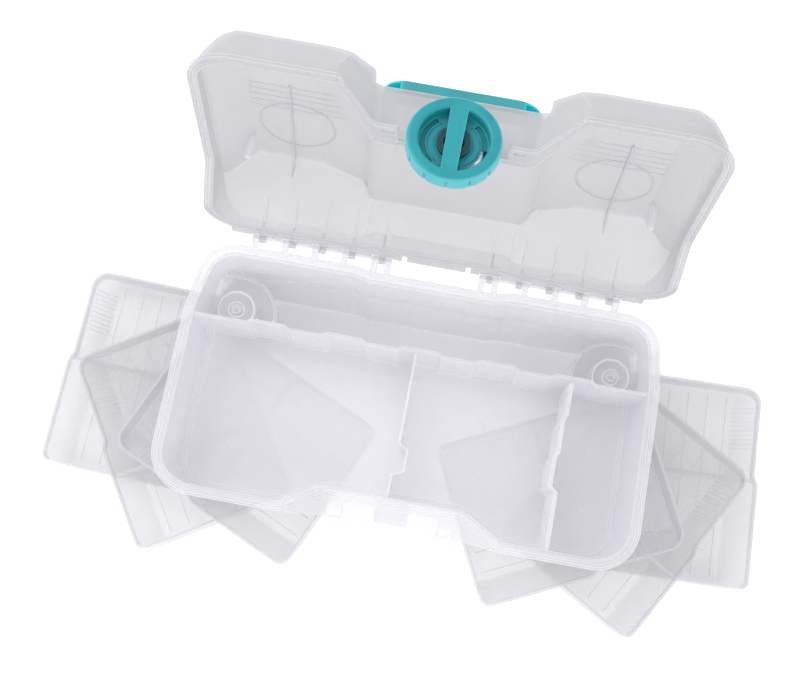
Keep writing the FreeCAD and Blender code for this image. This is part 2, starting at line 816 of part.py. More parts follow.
# ---- posts, screws and bin partitions --------------------------------------
def pivot_post(side):
    """Axle of a tray stack: foot below the ear, shaft up into the tower, blind hole for the screw."""
    x = side * pivot_x
    top = floor_top + tower_height - tower_cap - post_end_gap
    shaft = upright(x, pivot_y, post_radius, post_ground_gap, top)
    foot = upright(x, pivot_y, post_foot_radius, post_ground_gap, ear_height - ear_thickness - post_end_gap)
    hole = upright(x, pivot_y, screw_radius + screw_fit, top - screw_length, top)
    return shaft.fuse(foot).removeSplitter().cut(hole)


def pivot_screw(side):
    x = side * pivot_x
    seat = floor_top + tower_height + post_end_gap / 2
    shank = upright(x, pivot_y, screw_radius, seat - screw_length + screw_tip_gap, seat)
    head = upright(x, pivot_y, screw_head_radius, seat, seat + screw_head_height)
    half = screw_slot / 2
    slot = box(x - FAR, x + FAR, pivot_y - half, pivot_y + half, seat + screw_head_height - screw_slot, FAR)
    return shank.fuse(head).cut(slot)


def bin_partition(x, thickness, steps):
    """Lift-out plate across the bin, stepped sideways in plan; its front end drops at the dip."""
    start = fence_y - fence_jog - seat_gap
    line = [(x, start)]
    for distance, offset in steps:
        line.append((line[-1][0], start - distance))
        line.append((x + offset, start - distance - partition_ramp))
    line.append((line[-1][0], -FAR))
    left = [(a - thickness / 2, b, 0) for a, b in line]
    right = [(a + thickness / 2, b, 0) for a, b in reversed(line)]
    top = rim_height - bin_partition_drop
    shape = prism(left + right, floor_top + partition_floor_gap, top)
    shape = shape.common(stack(plan_corners(), bin_levels(wall + seat_gap)))
    if abs(x) > recess_half + recess_ramp:
        return shape
    step_y = recess_y + 2 * recess_depth
    shape = shape.cut(box(-FAR, FAR, -FAR, step_y, z_dip - partition_drop, FAR))
    return shape.cut(box(-FAR, FAR, step_y, step_y + recess_depth, top - bin_partition_step, FAR))


def build():
    parts = {
        "case_body": case_body(),
        "lid": with_lid(lid_closed()),
        "hinge_pin_left": hinge_pin(-1),
        "hinge_pin_right": hinge_pin(1),
        "latch_knob": with_lid(knob()),
        "knob_retainer": with_lid(knob_retainer()),
        "carry_handle": with_lid(handle()),
        "pivot_post_left": pivot_post(-1),
        "pivot_post_right": pivot_post(1),
        "pivot_screws": Part.makeCompound([pivot_screw(-1), pivot_screw(1)]),
        "bin_partition_centre": bin_partition(centre_partition_x, partition, centre_partition_steps),
        "bin_partition_side": bin_partition(side_partition_x, side_partition, side_partition_steps),
    }
    levels = ("lower", "middle", "upper")
    for level, name in enumerate(levels):
        for side, hand in ((-1, "left"), (1, "right")):
            parts["tray_%s_%s" % (hand, name)] = swung(tray_closed(level), level, side)
            divider = swung(tray_partition_closed(level), level, side)
            parts["tray_partition_%s_%s" % (hand, name)] = divider
    return parts


os.makedirs("parts", exist_ok=True)
for node, shape in build().items():
    shape.exportStep("parts/" + node + ".step")
    state = "valid" if shape.isValid() else "NOT VALID"
    print("%-30s solids %d  %s  volume %.0f mm3" % (node, len(shape.Solids), state, shape.Volume))
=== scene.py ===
# %% [markdown]
# # A sewing box with swing-out trays, in frosted plastic
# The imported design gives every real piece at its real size. This lesson dresses it: it reads
# the pieces, makes milky moulded plastic for them, and adds the ribs, ridges, rings and pegs
# that a mould leaves on such a box. Everything is in metres, in the design's own frame.

# %% Load the frame
import json
import math
import bmesh
import bpy
import numpy as np
from mathutils import Matrix, Vector


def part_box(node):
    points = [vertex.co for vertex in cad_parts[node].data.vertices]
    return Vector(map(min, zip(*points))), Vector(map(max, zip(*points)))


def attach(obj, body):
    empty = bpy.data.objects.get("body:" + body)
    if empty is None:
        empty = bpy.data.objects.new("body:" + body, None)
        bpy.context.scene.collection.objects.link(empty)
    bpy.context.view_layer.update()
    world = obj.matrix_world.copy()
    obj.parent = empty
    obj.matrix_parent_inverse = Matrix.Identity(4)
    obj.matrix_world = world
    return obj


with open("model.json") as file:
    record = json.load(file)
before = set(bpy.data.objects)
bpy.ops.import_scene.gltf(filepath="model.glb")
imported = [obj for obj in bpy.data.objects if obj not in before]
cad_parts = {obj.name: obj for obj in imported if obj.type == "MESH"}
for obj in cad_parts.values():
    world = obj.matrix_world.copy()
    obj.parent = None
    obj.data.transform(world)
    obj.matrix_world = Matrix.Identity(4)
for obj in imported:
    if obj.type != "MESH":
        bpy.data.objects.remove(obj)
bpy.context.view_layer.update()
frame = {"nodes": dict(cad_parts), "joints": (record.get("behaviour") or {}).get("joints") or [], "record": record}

MM = 0.001
nodes = frame["nodes"]
print("pieces from the design:", len(nodes))

# %% [markdown]
# ## Where things are
# Places that the looks need are read back from the design. Sizes that can't be read from it,
# such as a wall's thickness or a tray's height, repeat the design's own numbers. The parting line is the
# top of the case body, the front is its lowest y, and the hinge axis is the lid's joint. The
# lid was drawn shut, so its own details are easiest to place on the shut lid, and a turn about
# the hinge then carries them to where the open lid rests. The trays are treated the same way.

# %% Places read from the frame
joint_at = {j["name"]: np.array(j["pos_m"]) for j in frame["joints"]}
joint_axis = {j["name"]: np.array(j["axis"], float) for j in frame["joints"]}
joint_range = {j["name"]: j["range_deg"] for j in frame["joints"]}
body_low, body_high = (np.array(v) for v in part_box("case_body"))
RIM = body_high[2]
FRONT = body_low[1]
HINGE = joint_at["lid_hinge"]
BACK = HINGE[1] - 9 * MM
WALL = 2.2 * MM
print("parting line", RIM, "front", FRONT, "hinge", HINGE)


def turned_about(points, centre, axis, degrees):
    """Rodrigues: keep the part along the axis and turn the part across it."""
    axis = np.asarray(axis, float) / np.linalg.norm(axis)
    arm = np.asarray(points, float) - centre
    angle = math.radians(degrees)
    along = np.outer(arm @ axis, axis)
    across = np.cross(axis, arm)
    return centre + along + (arm - along) * math.cos(angle) + across * math.sin(angle)


def lid_at_rest(points):
    """From the shut lid to the open one."""
    return turned_about(points, HINGE, (1, 0, 0), -joint_range["lid_hinge"][1])


def tray_at_rest(points, hand, level):
    """From a left-hand tray in its shut place to the tray of that hand, swung out."""
    name = "tray_%s_%s_swing" % (hand, level)
    pivot = joint_at[name]
    if hand == "left":
        return turned_about(points, pivot, (0, 0, 1), -joint_range[name][1])
    mirror = np.array((-1, 1, 1))
    return turned_about(np.asarray(points) * mirror, pivot, (0, 0, 1), -joint_range[name][0])


# %% [markdown]
# ## The camera
# The box is seen almost from above and slightly from the front, turned a little in the
# picture plane. A camera is a place, three turns and a lens.

# %% Camera
CAMERA_PLACE = Vector((0.0158, -0.2140, 1.1430))
CAMERA_TURNS = (-11.17, -1.91, -10.27)
LENS = 57.5
rx, ry, rz = (math.radians(a) for a in CAMERA_TURNS)
world_to_camera = (Matrix.Rotation(rz, 3, "Z") @ Matrix.Rotation(ry, 3, "Y")
                   @ Matrix.Rotation(rx, 3, "X"))
camera_data = bpy.data.cameras.new("camera")
camera_data.lens = LENS
camera_data.sensor_width = 36.0
camera = bpy.data.objects.new("camera", camera_data)
camera.matrix_world = Matrix.Translation(CAMERA_PLACE) @ world_to_camera.transposed().to_4x4()
bpy.context.scene.collection.objects.link(camera)
bpy.context.scene.camera = camera

# %% [markdown]
# ## Floor and light
# A packshot of frosted plastic is made on a white table under a white tent. The floor glows a
# little, as a lit acrylic sheet does, so only a faint shadow forms under the trays, and two
# broad weak lamps, one behind and one in front, model the walls.
# Light has to pass many clear walls here, so the
# number of transparent walls a ray may cross is raised.

# %% Floor, sky and lamps
FLOOR_HALF = 3.0


def floor_sheet():
    corners = FLOOR_HALF * np.array([(-1, -1, 0), (1, -1, 0), (1, 1, 0), (-1, 1, 0)])
    mesh = bpy.data.meshes.new("floor")
    mesh.from_pydata(corners.tolist(), [], [(0, 1, 2, 3)])
    sheet = bpy.data.objects.new("floor", mesh)
    bpy.context.scene.collection.objects.link(sheet)
    return sheet


floor = floor_sheet()
floor.location.z = -0.5 * MM  # just under the ground, so the two never share a plane
floor_paint = bpy.data.materials.new("floor_paint")
floor_paint.use_nodes = True
floor_shader = floor_paint.node_tree.nodes["Principled BSDF"]
floor_shader.inputs["Base Color"].default_value = (0.93, 0.93, 0.93, 1)
floor_shader.inputs["Roughness"].default_value = 0.9
floor_shader.inputs["Emission Color"].default_value = (1, 1, 1, 1)
floor_shader.inputs["Emission Strength"].default_value = 0.26
floor.data.materials.append(floor_paint)

sky = bpy.data.worlds.new("sky")
sky.use_nodes = True
sky.node_tree.nodes["Background"].inputs["Color"].default_value = (0.985, 0.99, 1.0, 1)
sky.node_tree.nodes["Background"].inputs["Strength"].default_value = 0.80
bpy.context.scene.world = sky


def soft_lamp(name, place, aim, size, power):
    lamp_data = bpy.data.lights.new(name, "AREA")
    lamp_data.size = size
    lamp_data.energy = power
    lamp = bpy.data.objects.new(name, lamp_data)
    lamp.location = place
    lamp.rotation_euler = (Vector(aim) - Vector(place)).to_track_quat("-Z", "Y").to_euler()
    bpy.context.scene.collection.objects.link(lamp)
    return lamp


soft_lamp("key_lamp", (-0.9, 0.7, 1.6), (0, 0, 0.1), 1.0, 8)
soft_lamp("front_lamp", (0.5, -1.3, 1.5), (0, 0, 0.1), 1.2, 6)
bpy.context.scene.view_settings.view_transform = "Standard"
bpy.context.scene.cycles.transparent_max_bounces = 32

# %% [markdown]
# ## Effects shared by the plastics
# Three effects are built once as node groups. *Edge frost and highlight* compares the true normal
# with a rounded one: they differ only near an edge, where a moulded wall ends. The plastics use
# it to make an edge more opaque and to paint it whiter, a painted highlight.
# *Mould grain* is the very fine matt texture of the tool. *Cloud* is the slow unevenness of
# plastic that cooled at different speeds. Each puts out only masks and heights.

# %% Node groups
def new_group(name, inputs, outputs):
    group = bpy.data.node_groups.new(name, "ShaderNodeTree")
    for label, value in inputs:
        socket = group.interface.new_socket(name=label, in_out="INPUT", socket_type="NodeSocketFloat")
        socket.default_value = value
    for label in outputs:
        group.interface.new_socket(name=label, in_out="OUTPUT", socket_type="NodeSocketFloat")
    return group, group.nodes.new("NodeGroupInput"), group.nodes.new("NodeGroupOutput")


def edge_frost_and_highlight_group():
    """Mask = (1 - true normal . rounded normal) x strength, clipped to 0..1."""
    group, given, out = new_group("edge_frost", [("Radius", 0.8 * MM), ("Strength", 6.0)], ["Mask"])
    rounded = group.nodes.new("ShaderNodeBevel")
    rounded.samples = 3
    group.links.new(given.outputs["Radius"], rounded.inputs["Radius"])
    true = group.nodes.new("ShaderNodeNewGeometry")
    dot = group.nodes.new("ShaderNodeVectorMath")
    dot.operation = "DOT_PRODUCT"
    group.links.new(rounded.outputs["Normal"], dot.inputs[0])
    group.links.new(true.outputs["Normal"], dot.inputs[1])
    turn = group.nodes.new("ShaderNodeMath")
    turn.operation = "SUBTRACT"
    turn.inputs[0].default_value = 1.0
    group.links.new(dot.outputs["Value"], turn.inputs[1])
    gain = group.nodes.new("ShaderNodeMath")
    gain.operation = "MULTIPLY"
    gain.use_clamp = True
    group.links.new(turn.outputs["Value"], gain.inputs[0])
    group.links.new(given.outputs["Strength"], gain.inputs[1])
    group.links.new(gain.outputs["Value"], out.inputs["Mask"])
    return group


def noise_group(name, scale, detail, low, high):
    """Noise on object coordinates, spread from low to high."""
    group, given, out = new_group(name, [("Scale", scale)], ["Value"])
    place = group.nodes.new("ShaderNodeTexCoord")
    noise = group.nodes.new("ShaderNodeTexNoise")
    noise.inputs["Detail"].default_value = detail
    group.links.new(place.outputs["Object"], noise.inputs["Vector"])
    group.links.new(given.outputs["Scale"], noise.inputs["Scale"])
    spread = group.nodes.new("ShaderNodeMapRange")
    spread.inputs["From Min"].default_value = 0.3
    spread.inputs["From Max"].default_value = 0.7
    spread.inputs["To Min"].default_value = low
    spread.inputs["To Max"].default_value = high
    group.links.new(noise.outputs["Fac"], spread.inputs["Value"])
    group.links.new(spread.outputs["Result"], out.inputs["Value"])
    return group


# edge mask: more opacity at edges, and a painted highlight where a colour is mixed by it
edge_frost = edge_frost_and_highlight_group()
mould_grain = noise_group("mould_grain", 1400.0, 2.0, 0.0, 1.0)
cloud = noise_group("cloud", 22.0, 3.0, -1.0, 1.0)
print("node groups:", [group.name for group in bpy.data.node_groups])

# %% [markdown]
# ## Frosted plastic
# Polypropylene lets light through but blurs it. Where a wall is seen face on it is milky but
# clear, and where it is seen edge on it turns white, because the way through it is long.
# Glass with a rough inside would be slow and noisy through ten walls, so the wall is a matt
# white that is partly see-through: Alpha rises towards grazing angles, at edges, and a little
# with the cloud. The bin floor hides more than the walls do, so a height mask adds to its Alpha.
# Near edges the colour is painted whiter, a painted highlight, and each wall glows faintly in its
# own colour, painted light that lifts its shade.

# %% Frosted plastic
def group_node(tree, group, **values):
    node = tree.nodes.new("ShaderNodeGroup")
    node.node_tree = group
    for label, value in values.items():
        node.inputs[label].default_value = value
    return node


def maths(tree, operation, first, second, clamp=False):
    node = tree.nodes.new("ShaderNodeMath")
    node.operation = operation
    node.use_clamp = clamp
    for socket, value in zip(node.inputs, (first, second)):
        if isinstance(value, (int, float)):
            socket.default_value = value
        else:
            tree.links.new(value, socket)
    return node.outputs["Value"]


def spread(tree, value, low, high, from_low=0.0, from_high=1.0):
    node = tree.nodes.new("ShaderNodeMapRange")
    node.inputs["From Min"].default_value = from_low
    node.inputs["From Max"].default_value = from_high
    node.inputs["To Min"].default_value = low
    node.inputs["To Max"].default_value = high
    tree.links.new(value, node.inputs["Value"])
    return node.outputs["Result"]


def blended(tree, mask, first, second):
    node = tree.nodes.new("ShaderNodeMix")
    node.data_type = "RGBA"
    node.inputs["A"].default_value = (*first, 1)
    node.inputs["B"].default_value = (*second, 1)
    tree.links.new(mask, node.inputs["Factor"])
    return node.outputs["Result"]


def grain_bump(tree, shader, strength, scale=1400.0):
    grain = group_node(tree, mould_grain, Scale=scale)
    bump = tree.nodes.new("ShaderNodeBump")
    bump.inputs["Strength"].default_value = strength
    bump.inputs["Distance"].default_value = 0.05 * MM
    tree.links.new(grain.outputs["Value"], bump.inputs["Height"])
    tree.links.new(bump.outputs["Normal"], shader.inputs["Normal"])
    return grain


def frosted(name, face, edge, face_alpha, edge_alpha, rough, dense_band=None, edge_gain=6.0):
    """Milky see-through plastic; dense_band = (low z, high z, extra alpha) for a thick floor."""
    material = bpy.data.materials.new(name)
    material.use_nodes = True
    tree = material.node_tree
    shader = tree.nodes["Principled BSDF"]
    weight = tree.nodes.new("ShaderNodeLayerWeight")
    weight.inputs["Blend"].default_value = 0.30
    frost_and_highlight = group_node(tree, edge_frost, Radius=0.9 * MM, Strength=edge_gain)
    patches = group_node(tree, cloud, Scale=18.0)
    alpha = spread(tree, weight.outputs["Facing"], face_alpha, edge_alpha)
    alpha = maths(tree, "ADD", alpha, maths(tree, "MULTIPLY", frost_and_highlight.outputs["Mask"], 0.45))
    alpha = maths(tree, "ADD", alpha, maths(tree, "MULTIPLY", patches.outputs["Value"], 0.03))
    if dense_band:
        low, high, extra = dense_band
        place = tree.nodes.new("ShaderNodeTexCoord")
        split = tree.nodes.new("ShaderNodeSeparateXYZ")
        tree.links.new(place.outputs["Object"], split.inputs["Vector"])
        above = maths(tree, "GREATER_THAN", split.outputs["Z"], low)
        below = maths(tree, "LESS_THAN", split.outputs["Z"], high)
        band = maths(tree, "MULTIPLY", above, below)
        alpha = maths(tree, "ADD", alpha, maths(tree, "MULTIPLY", band, extra))
    alpha = maths(tree, "MINIMUM", alpha, 0.97)
    tree.links.new(alpha, shader.inputs["Alpha"])
    # painted highlight: the colour turns whiter near moulded edges
    tree.links.new(blended(tree, frost_and_highlight.outputs["Mask"], face, edge), shader.inputs["Base Color"])
    grain = grain_bump(tree, shader, 0.25)
    tree.links.new(spread(tree, grain.outputs["Value"], rough - 0.05, rough + 0.08), shader.inputs["Roughness"])
    shader.inputs["Specular IOR Level"].default_value = 0.35
    # painted light: a faint glow in the face colour lifts the plastic's shade
    shader.inputs["Emission Color"].default_value = (*face, 1)
    shader.inputs["Emission Strength"].default_value = 0.05
    return material


bin_floor_band = (RIM - 69 * MM, RIM - 62 * MM, 0.15)
shell = frosted("frosted_shell", (0.88, 0.87, 0.905), (0.97, 0.965, 1.0), 0.34, 0.90, 0.38, bin_floor_band)
# painted shade: the lid is the case's plastic given a darker colour, for the open lid's shaded inner face
shaded_lid_shell = frosted("frosted_lid", (0.66, 0.655, 0.68), (0.88, 0.87, 0.92), 0.46, 0.92, 0.38)
tray = frosted("frosted_tray", (0.76, 0.755, 0.78), (0.92, 0.91, 0.96), 0.27, 0.90, 0.38)
tray_rib = frosted("frosted_tray_rib", (0.80, 0.795, 0.82), (0.90, 0.89, 0.94), 0.22, 0.60, 0.40,
                   edge_gain=1.0)
faint_mark = frosted("faint_mark", (0.90, 0.89, 0.92), (0.95, 0.94, 0.98), 0.30, 0.50, 0.40,
                     edge_gain=0.5)
divider = frosted("frosted_divider", (0.92, 0.92, 0.95), (0.99, 0.99, 1.0), 0.50, 0.95, 0.35)
solid_white = frosted("natural_plastic", (0.90, 0.90, 0.93), (0.97, 0.97, 1.0), 0.60, 0.97, 0.40)
# painted shade: the lid's ribs are darkened to match the lid
shaded_lid_rib = frosted("frosted_lid_rib", (0.70, 0.70, 0.73), (0.88, 0.88, 0.92), 0.45, 0.90, 0.40)
print("frosted finishes made")

# %% [markdown]
# ## Teal plastic
# The knob, its cap and the handle are coloured. Thin sections let light in and look lighter,
# so the edges of the moulding are painted towards a pale teal, and the cloud moves the colour a
# little. The knob's skirt and the handle's hollow ends also get a little emission, which is
# quicker than letting light through them. The knob's sunken disc is painted darker, as painted
# shade. The cap is the same plastic, painted much darker as the shade inside the hub's bore.

# %% Teal plastic
def teal_plastic(name, deep, face, pale, rough, lit_and_shaded_zones=None):
    """Coloured plastic; lit_and_shaded_zones(tree) may give (mask, colour) pairs: zones painted lighter as painted
    light, and darker as painted shade.
    """
    material = bpy.data.materials.new(name)
    material.use_nodes = True
    tree = material.node_tree
    shader = tree.nodes["Principled BSDF"]
    frost_and_highlight = group_node(tree, edge_frost, Radius=1.4 * MM, Strength=2.2)
    patches = group_node(tree, cloud, Scale=40.0)
    colour = blended(tree, spread(tree, patches.outputs["Value"], 0.0, 1.0, -1.0, 1.0), deep, face)
    layers = lit_and_shaded_zones(tree) if lit_and_shaded_zones else []
    # painted light and shade: each zone's colour, then the edges painted towards pale teal
    for mask, zone in layers + [(frost_and_highlight.outputs["Mask"], pale)]:
        mix = tree.nodes.new("ShaderNodeMix")
        mix.data_type = "RGBA"
        tree.links.new(mask, mix.inputs["Factor"])
        tree.links.new(colour, mix.inputs["A"])
        mix.inputs["B"].default_value = (*zone, 1)
        colour = mix.outputs["Result"]
    tree.links.new(colour, shader.inputs["Base Color"])
    grain = grain_bump(tree, shader, 0.35)
    tree.links.new(spread(tree, grain.outputs["Value"], rough - 0.06, rough + 0.10), shader.inputs["Roughness"])
    shader.inputs["Subsurface Weight"].default_value = 0.15
    shader.inputs["Subsurface Scale"].default_value = 3 * MM
    if layers:
        # painted light: the last zone also glows
        tree.links.new(blended(tree, layers[-1][0], (0, 0, 0), layers[-1][1]), shader.inputs["Emission Color"])
        shader.inputs["Emission Strength"].default_value = 0.14
    return material


def knob_zones(tree):
    """The sunken disc is painted darker, as painted shade; the thin skirt outside the ring lets light in and is
    painted paler.
    """
    place = tree.nodes.new("ShaderNodeTexCoord")
    arm = tree.nodes.new("ShaderNodeVectorMath")
    arm.operation = "SUBTRACT"
    tree.links.new(place.outputs["Object"], arm.inputs[0])
    arm.inputs[1].default_value = joint_at["knob_turn"]
    along = tree.nodes.new("ShaderNodeVectorMath")
    along.operation = "DOT_PRODUCT"
    tree.links.new(arm.outputs["Vector"], along.inputs[0])
    along.inputs[1].default_value = joint_axis["knob_turn"]
    around = tree.nodes.new("ShaderNodeVectorMath")
    around.operation = "CROSS_PRODUCT"
    tree.links.new(arm.outputs["Vector"], around.inputs[0])
    around.inputs[1].default_value = joint_axis["knob_turn"]
    radius = tree.nodes.new("ShaderNodeVectorMath")
    radius.operation = "LENGTH"
    tree.links.new(around.outputs["Vector"], radius.inputs[0])
    sunk = spread(tree, radius.outputs["Value"], 1.0, 0.0, 21.5 * MM, 23.5 * MM)
    depth = spread(tree, along.outputs["Value"], 1.0, 0.0, -4 * MM, 4 * MM)
    skirt = spread(tree, radius.outputs["Value"], 0.0, 1.0, 29.8 * MM, 31.2 * MM)
    # painted shade on the sunken disc, painted light on the thin skirt
    return [(maths(tree, "MULTIPLY", sunk, depth, True), (0.0, 0.27, 0.33)), (skirt, (0.09, 0.50, 0.56))]


def handle_zones(tree):
    """Light through the thin skin of the two end pockets."""
    place = tree.nodes.new("ShaderNodeTexCoord")
    split = tree.nodes.new("ShaderNodeSeparateXYZ")
    tree.links.new(place.outputs["Object"], split.inputs["Vector"])
    outward = maths(tree, "ABSOLUTE", split.outputs["X"], 0.0)
    return [(spread(tree, outward, 0.0, 1.0, 42 * MM, 43.5 * MM), (0.02, 0.60, 0.68))]


knob_teal = teal_plastic("knob_teal", (0.010, 0.31, 0.36), (0.018, 0.38, 0.43), (0.14, 0.60, 0.66), 0.36,
                         knob_zones)
handle_teal = teal_plastic("handle_teal", (0.04, 0.37, 0.41), (0.055, 0.43, 0.47), (0.16, 0.60, 0.64), 0.42,
                           handle_zones)
# painted shade: the cap is painted very dark for the shade inside the hub's bore
dark_teal = teal_plastic("dark_teal", (0.0, 0.04, 0.055), (0.0, 0.06, 0.08), (0.01, 0.20, 0.24), 0.35)
# painted shade: the lines and webs on the sunken disc share its darkened colour
disc_teal = teal_plastic("disc_teal", (0.0, 0.24, 0.29), (0.0, 0.28, 0.34), (0.02, 0.40, 0.46), 0.36)

finish_of = {"shell_plastic": shell, "tray_plastic": tray, "knob_plastic": knob_teal,
             "handle_plastic": handle_teal, "dark_plastic": dark_teal, "post_plastic": solid_white,
             "screw_plastic": shell}
for part in frame["record"]["subparts"]:
    node = nodes[part["node"]]
    node.data.materials.clear()
    node.data.materials.append(finish_of[part["material_slot"]])
nodes["lid"].data.materials.clear()
nodes["lid"].data.materials.append(shaded_lid_shell)
for name in ("bin_partition_centre", "bin_partition_side"):
    nodes[name].data.materials.clear()
    nodes[name].data.materials.append(divider)

# %% [markdown]
# ## A rib is a section carried along a path
# Nearly every mould detail is a small rounded ridge: a rib, a bead, a ring. One function makes
# them all. A flat section with a width and a height is carried along a path of points, and
# each ring of the surface is worked out as a whole array: path + side x a + up x b. The ends
# are capped, or the last ring meets the first when the path is a loop.

# %% Ribs, rings and pegs
def ridge_section(width, height, sunk=0.3 * MM):
    """Half an ellipse standing on a short root that is sunk into the wall."""
    turn = np.linspace(0, math.pi, 7)
    crown = np.stack([np.cos(turn) * width / 2, np.sin(turn) * height], axis=1)
    root = np.array([(-width / 2, -sunk), (width / 2, -sunk)])
    return np.concatenate([crown, root])


def carried(path, up, section, loop=False, swell=None):
    """Vertices (path, section) = path + side * a + up * b, with swell scaling each ring."""
    path = np.asarray(path, float)
    if loop:
        tangent = np.roll(path, -1, axis=0) - np.roll(path, 1, axis=0)
    else:
        tangent = np.gradient(path, axis=0)
    tangent /= np.linalg.norm(tangent, axis=1, keepdims=True)
    side = np.cross(tangent, np.broadcast_to(np.asarray(up, float), path.shape))
    side /= np.linalg.norm(side, axis=1, keepdims=True)
    rise = np.cross(side, tangent)
    size = np.ones(len(path)) if swell is None else np.asarray(swell, float)
    across = side[:, None, :] * section[None, :, :1] * size[:, None, None]
    upward = rise[:, None, :] * section[None, :, 1:] * size[:, None, None]
    rings, count = len(path), len(section)
    index = np.arange(rings * count).reshape(rings, count)
    ahead = np.roll(index, -1, axis=0) if loop else index[1:]
    here = index if loop else index[:-1]
    quads = np.stack([here, np.roll(here, -1, axis=1), np.roll(ahead, -1, axis=1), ahead], axis=2)
    caps = [] if loop else [index[0].tolist(), index[-1][::-1].tolist()]
    return (path[:, None, :] + across + upward).reshape(-1, 3), quads.reshape(-1, 4).tolist() + caps


def lathed(profile, centre, steps=32):
    """A (radius, height) profile turned about the upright axis; both ends closed by a cap."""
    profile = np.asarray(profile, float)
    turn = np.linspace(0, 2 * math.pi, steps, endpoint=False)
    ring = np.stack([np.cos(turn), np.sin(turn)], axis=1)
    flat = profile[:, None, :1] * ring[None, :, :]
    height = np.broadcast_to(profile[:, None, 1:], (len(profile), steps, 1))
    index = np.arange(len(profile) * steps).reshape(len(profile), steps)
    here, ahead = index[:-1], index[1:]
    quads = np.stack([here, np.roll(here, -1, axis=1), np.roll(ahead, -1, axis=1), ahead], axis=2)
    faces = quads.reshape(-1, 4).tolist() + [index[0][::-1].tolist(), index[-1].tolist()]
    return np.concatenate([flat, height], axis=2).reshape(-1, 3) + centre, faces


def circle(centre, radius, steps=40, first=0.0, last=360.0):
    """Points on a level circle or arc."""
    whole = abs(last - first) >= 360.0
    turn = np.radians(np.linspace(first, last, steps, endpoint=not whole))
    return np.asarray(centre) + radius * np.stack([np.cos(turn), np.sin(turn), 0 * turn], axis=1)


def line(start, end, steps=2):
    """Points evenly spaced on a straight run."""
    share = np.linspace(0, 1, steps)[:, None]
    return np.asarray(start) * (1 - share) + np.asarray(end) * share


def piece(name, shells, place, body, finish):
    """Join shells of (vertices, faces), carry them to their resting place and ride on a body."""
    starts = np.cumsum([0] + [len(verts) for verts, _ in shells[:-1]])
    faces = [[int(i + start) for i in face] for (_, part), start in zip(shells, starts) for face in part]
    verts = place(np.concatenate([verts for verts, _ in shells]))
    mesh = bpy.data.meshes.new(name)
    mesh.from_pydata(verts.tolist(), [], faces)
    work = bmesh.new()
    work.from_mesh(mesh)
    bmesh.ops.recalc_face_normals(work, faces=work.faces)
    work.to_mesh(mesh)
    work.free()
    mesh.materials.append(finish)
    made = bpy.data.objects.new(name, mesh)
    bpy.context.scene.collection.objects.link(made)
    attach(made, body)
    print("%-28s %5d faces on %s" % (name, len(faces), body))
    return made


def both_hands(shells):
    """The shells and their mirror images across the middle of the box."""
    return shells + [(verts * np.array((-1, 1, 1)), faces) for verts, faces in shells]


# %% [markdown]
# ## Ribs and rings inside the lid
# Under each hump of the lid are five fine parallel ridges near the front, a long rib down the
# middle, and a wide ring with a peg beside it, which may be meant for a reel of thread. The
# heights of all of them, and the length of the peg, are guesses. A
# heavier bead runs down the inner edge of the hump to the corner of the valley.

# %% Inside the lid
lid_shut = turned_about(np.array([v.co[:] for v in nodes["lid"].data.vertices]), HINGE, (1, 0, 0),
                        joint_range["lid_hinge"][1])
LID_TOP = lid_shut[:, 2].max()
CEILING = LID_TOP - WALL
VALLEY = RIM + 14.5 * MM
LEAN_HEIGHT, LEAN_RUN, LID_SETBACK = 46 * MM, 28 * MM, 5 * MM
BACK_KINK = LID_TOP - LEAN_HEIGHT
BACK_LEAN = LEAN_RUN / LEAN_HEIGHT


def back_wall_y(z, inside=True):
    """The lid's back wall stands upright to the kink and then leans forward."""
    face = BACK - LID_SETBACK - (WALL if inside else 0.0)
    return face - BACK_LEAN * np.maximum(np.asarray(z) - BACK_KINK, 0.0)


RIDGE_SPAN = (-157 * MM, -91 * MM)
RIDGE_FROM, RIDGE_PITCH, RIDGES = -99 * MM, 7.2 * MM, 5
DOWN = (0, 0, -1)
fine = ridge_section(1.6 * MM, 0.6 * MM)
ridges = []
for k in range(RIDGES):
    y = RIDGE_FROM + k * RIDGE_PITCH
    run = line((RIDGE_SPAN[0], y, CEILING), (RIDGE_SPAN[1] + 2 * k * MM, y, CEILING))
    ridges.append(carried(run, DOWN, fine))
piece("lid_ceiling_ridges", both_hands(ridges), lid_at_rest, "lid", shaded_lid_rib)

REEL = np.array((-121.5 * MM, -49 * MM, CEILING))
REEL_RADIUS = 29 * MM
rings = [carried(circle(REEL, REEL_RADIUS), DOWN, ridge_section(2.2 * MM, 1.0 * MM), loop=True)]
piece("lid_reel_rings", both_hands(rings), lid_at_rest, "lid", shaded_lid_rib)

MID_X = -125.5 * MM
mid_path = [(MID_X, -103 * MM, CEILING), (MID_X, -40 * MM, CEILING), (MID_X, -2 * MM, CEILING - 1.5 * MM)]
wall_z = CEILING - np.array((6.0, 14.0)) * MM
mid_path += [(MID_X, float(back_wall_y(z)), float(z)) for z in wall_z]
mid_rib = carried(mid_path, (0, -0.5, -0.87), ridge_section(1.8 * MM, 2.4 * MM), swell=(1, 1, 1.2, 1.3, 0.4))
piece("lid_middle_ribs", both_hands([mid_rib]), lid_at_rest, "lid", shaded_lid_rib)

PEG = np.array((-157 * MM, -27 * MM, CEILING))
peg_profile = np.array([(3.0, 0.3), (2.8, -2.0), (2.5, -20.0), (2.2, -22.5), (1.2, -23.2)]) * MM
pegs = both_hands([lathed(peg_profile, PEG, 20)])
piece("lid_reel_pegs", pegs, lid_at_rest, "lid", solid_white)

